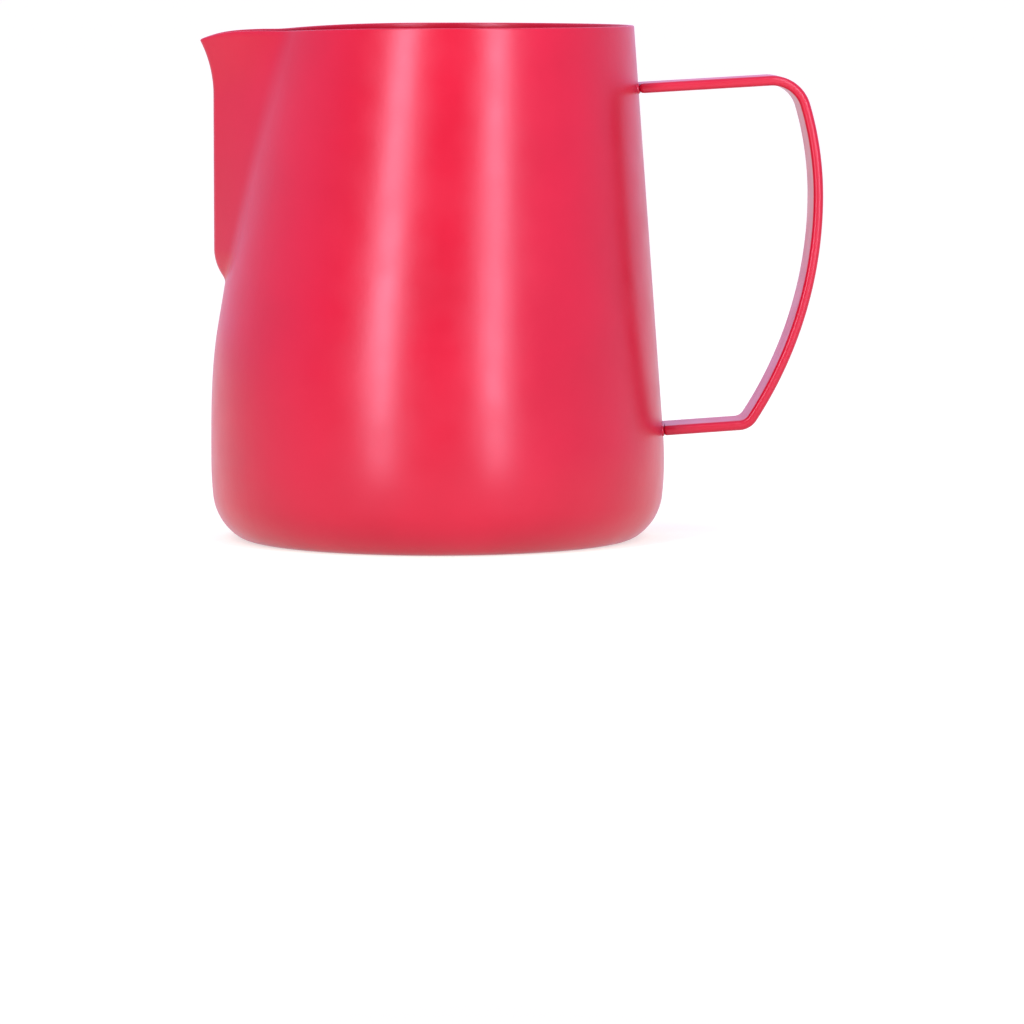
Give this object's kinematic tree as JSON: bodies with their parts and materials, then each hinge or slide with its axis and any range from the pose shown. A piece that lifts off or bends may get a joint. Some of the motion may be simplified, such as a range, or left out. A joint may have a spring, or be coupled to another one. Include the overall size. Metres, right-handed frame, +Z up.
{
  "type": "milk frothing pitcher",
  "caption": "Open steel frothing pitcher with a satin red coat: rounded base, tapered wall, sharp pressed V spout and a bent flat-strap handle.",
  "frame": {"origin": "centre of the flat round base, on the axis of the belly, at table level", "axes": "+Z up, -X along the spout, +X along the handle; y = 0 is the plane of symmetry"},
  "size_m": [0.1257, 0.092, 0.1039],
  "materials": {
    "red_coat": "satin red powder coat over stainless steel"
  },
  "bodies": {
    "root": {"pitcher_body": "red_coat", "handle_strap": "red_coat", "upper_handle_weld": "red_coat", "lower_handle_weld": "red_coat"}
  },
  "joints": []
}
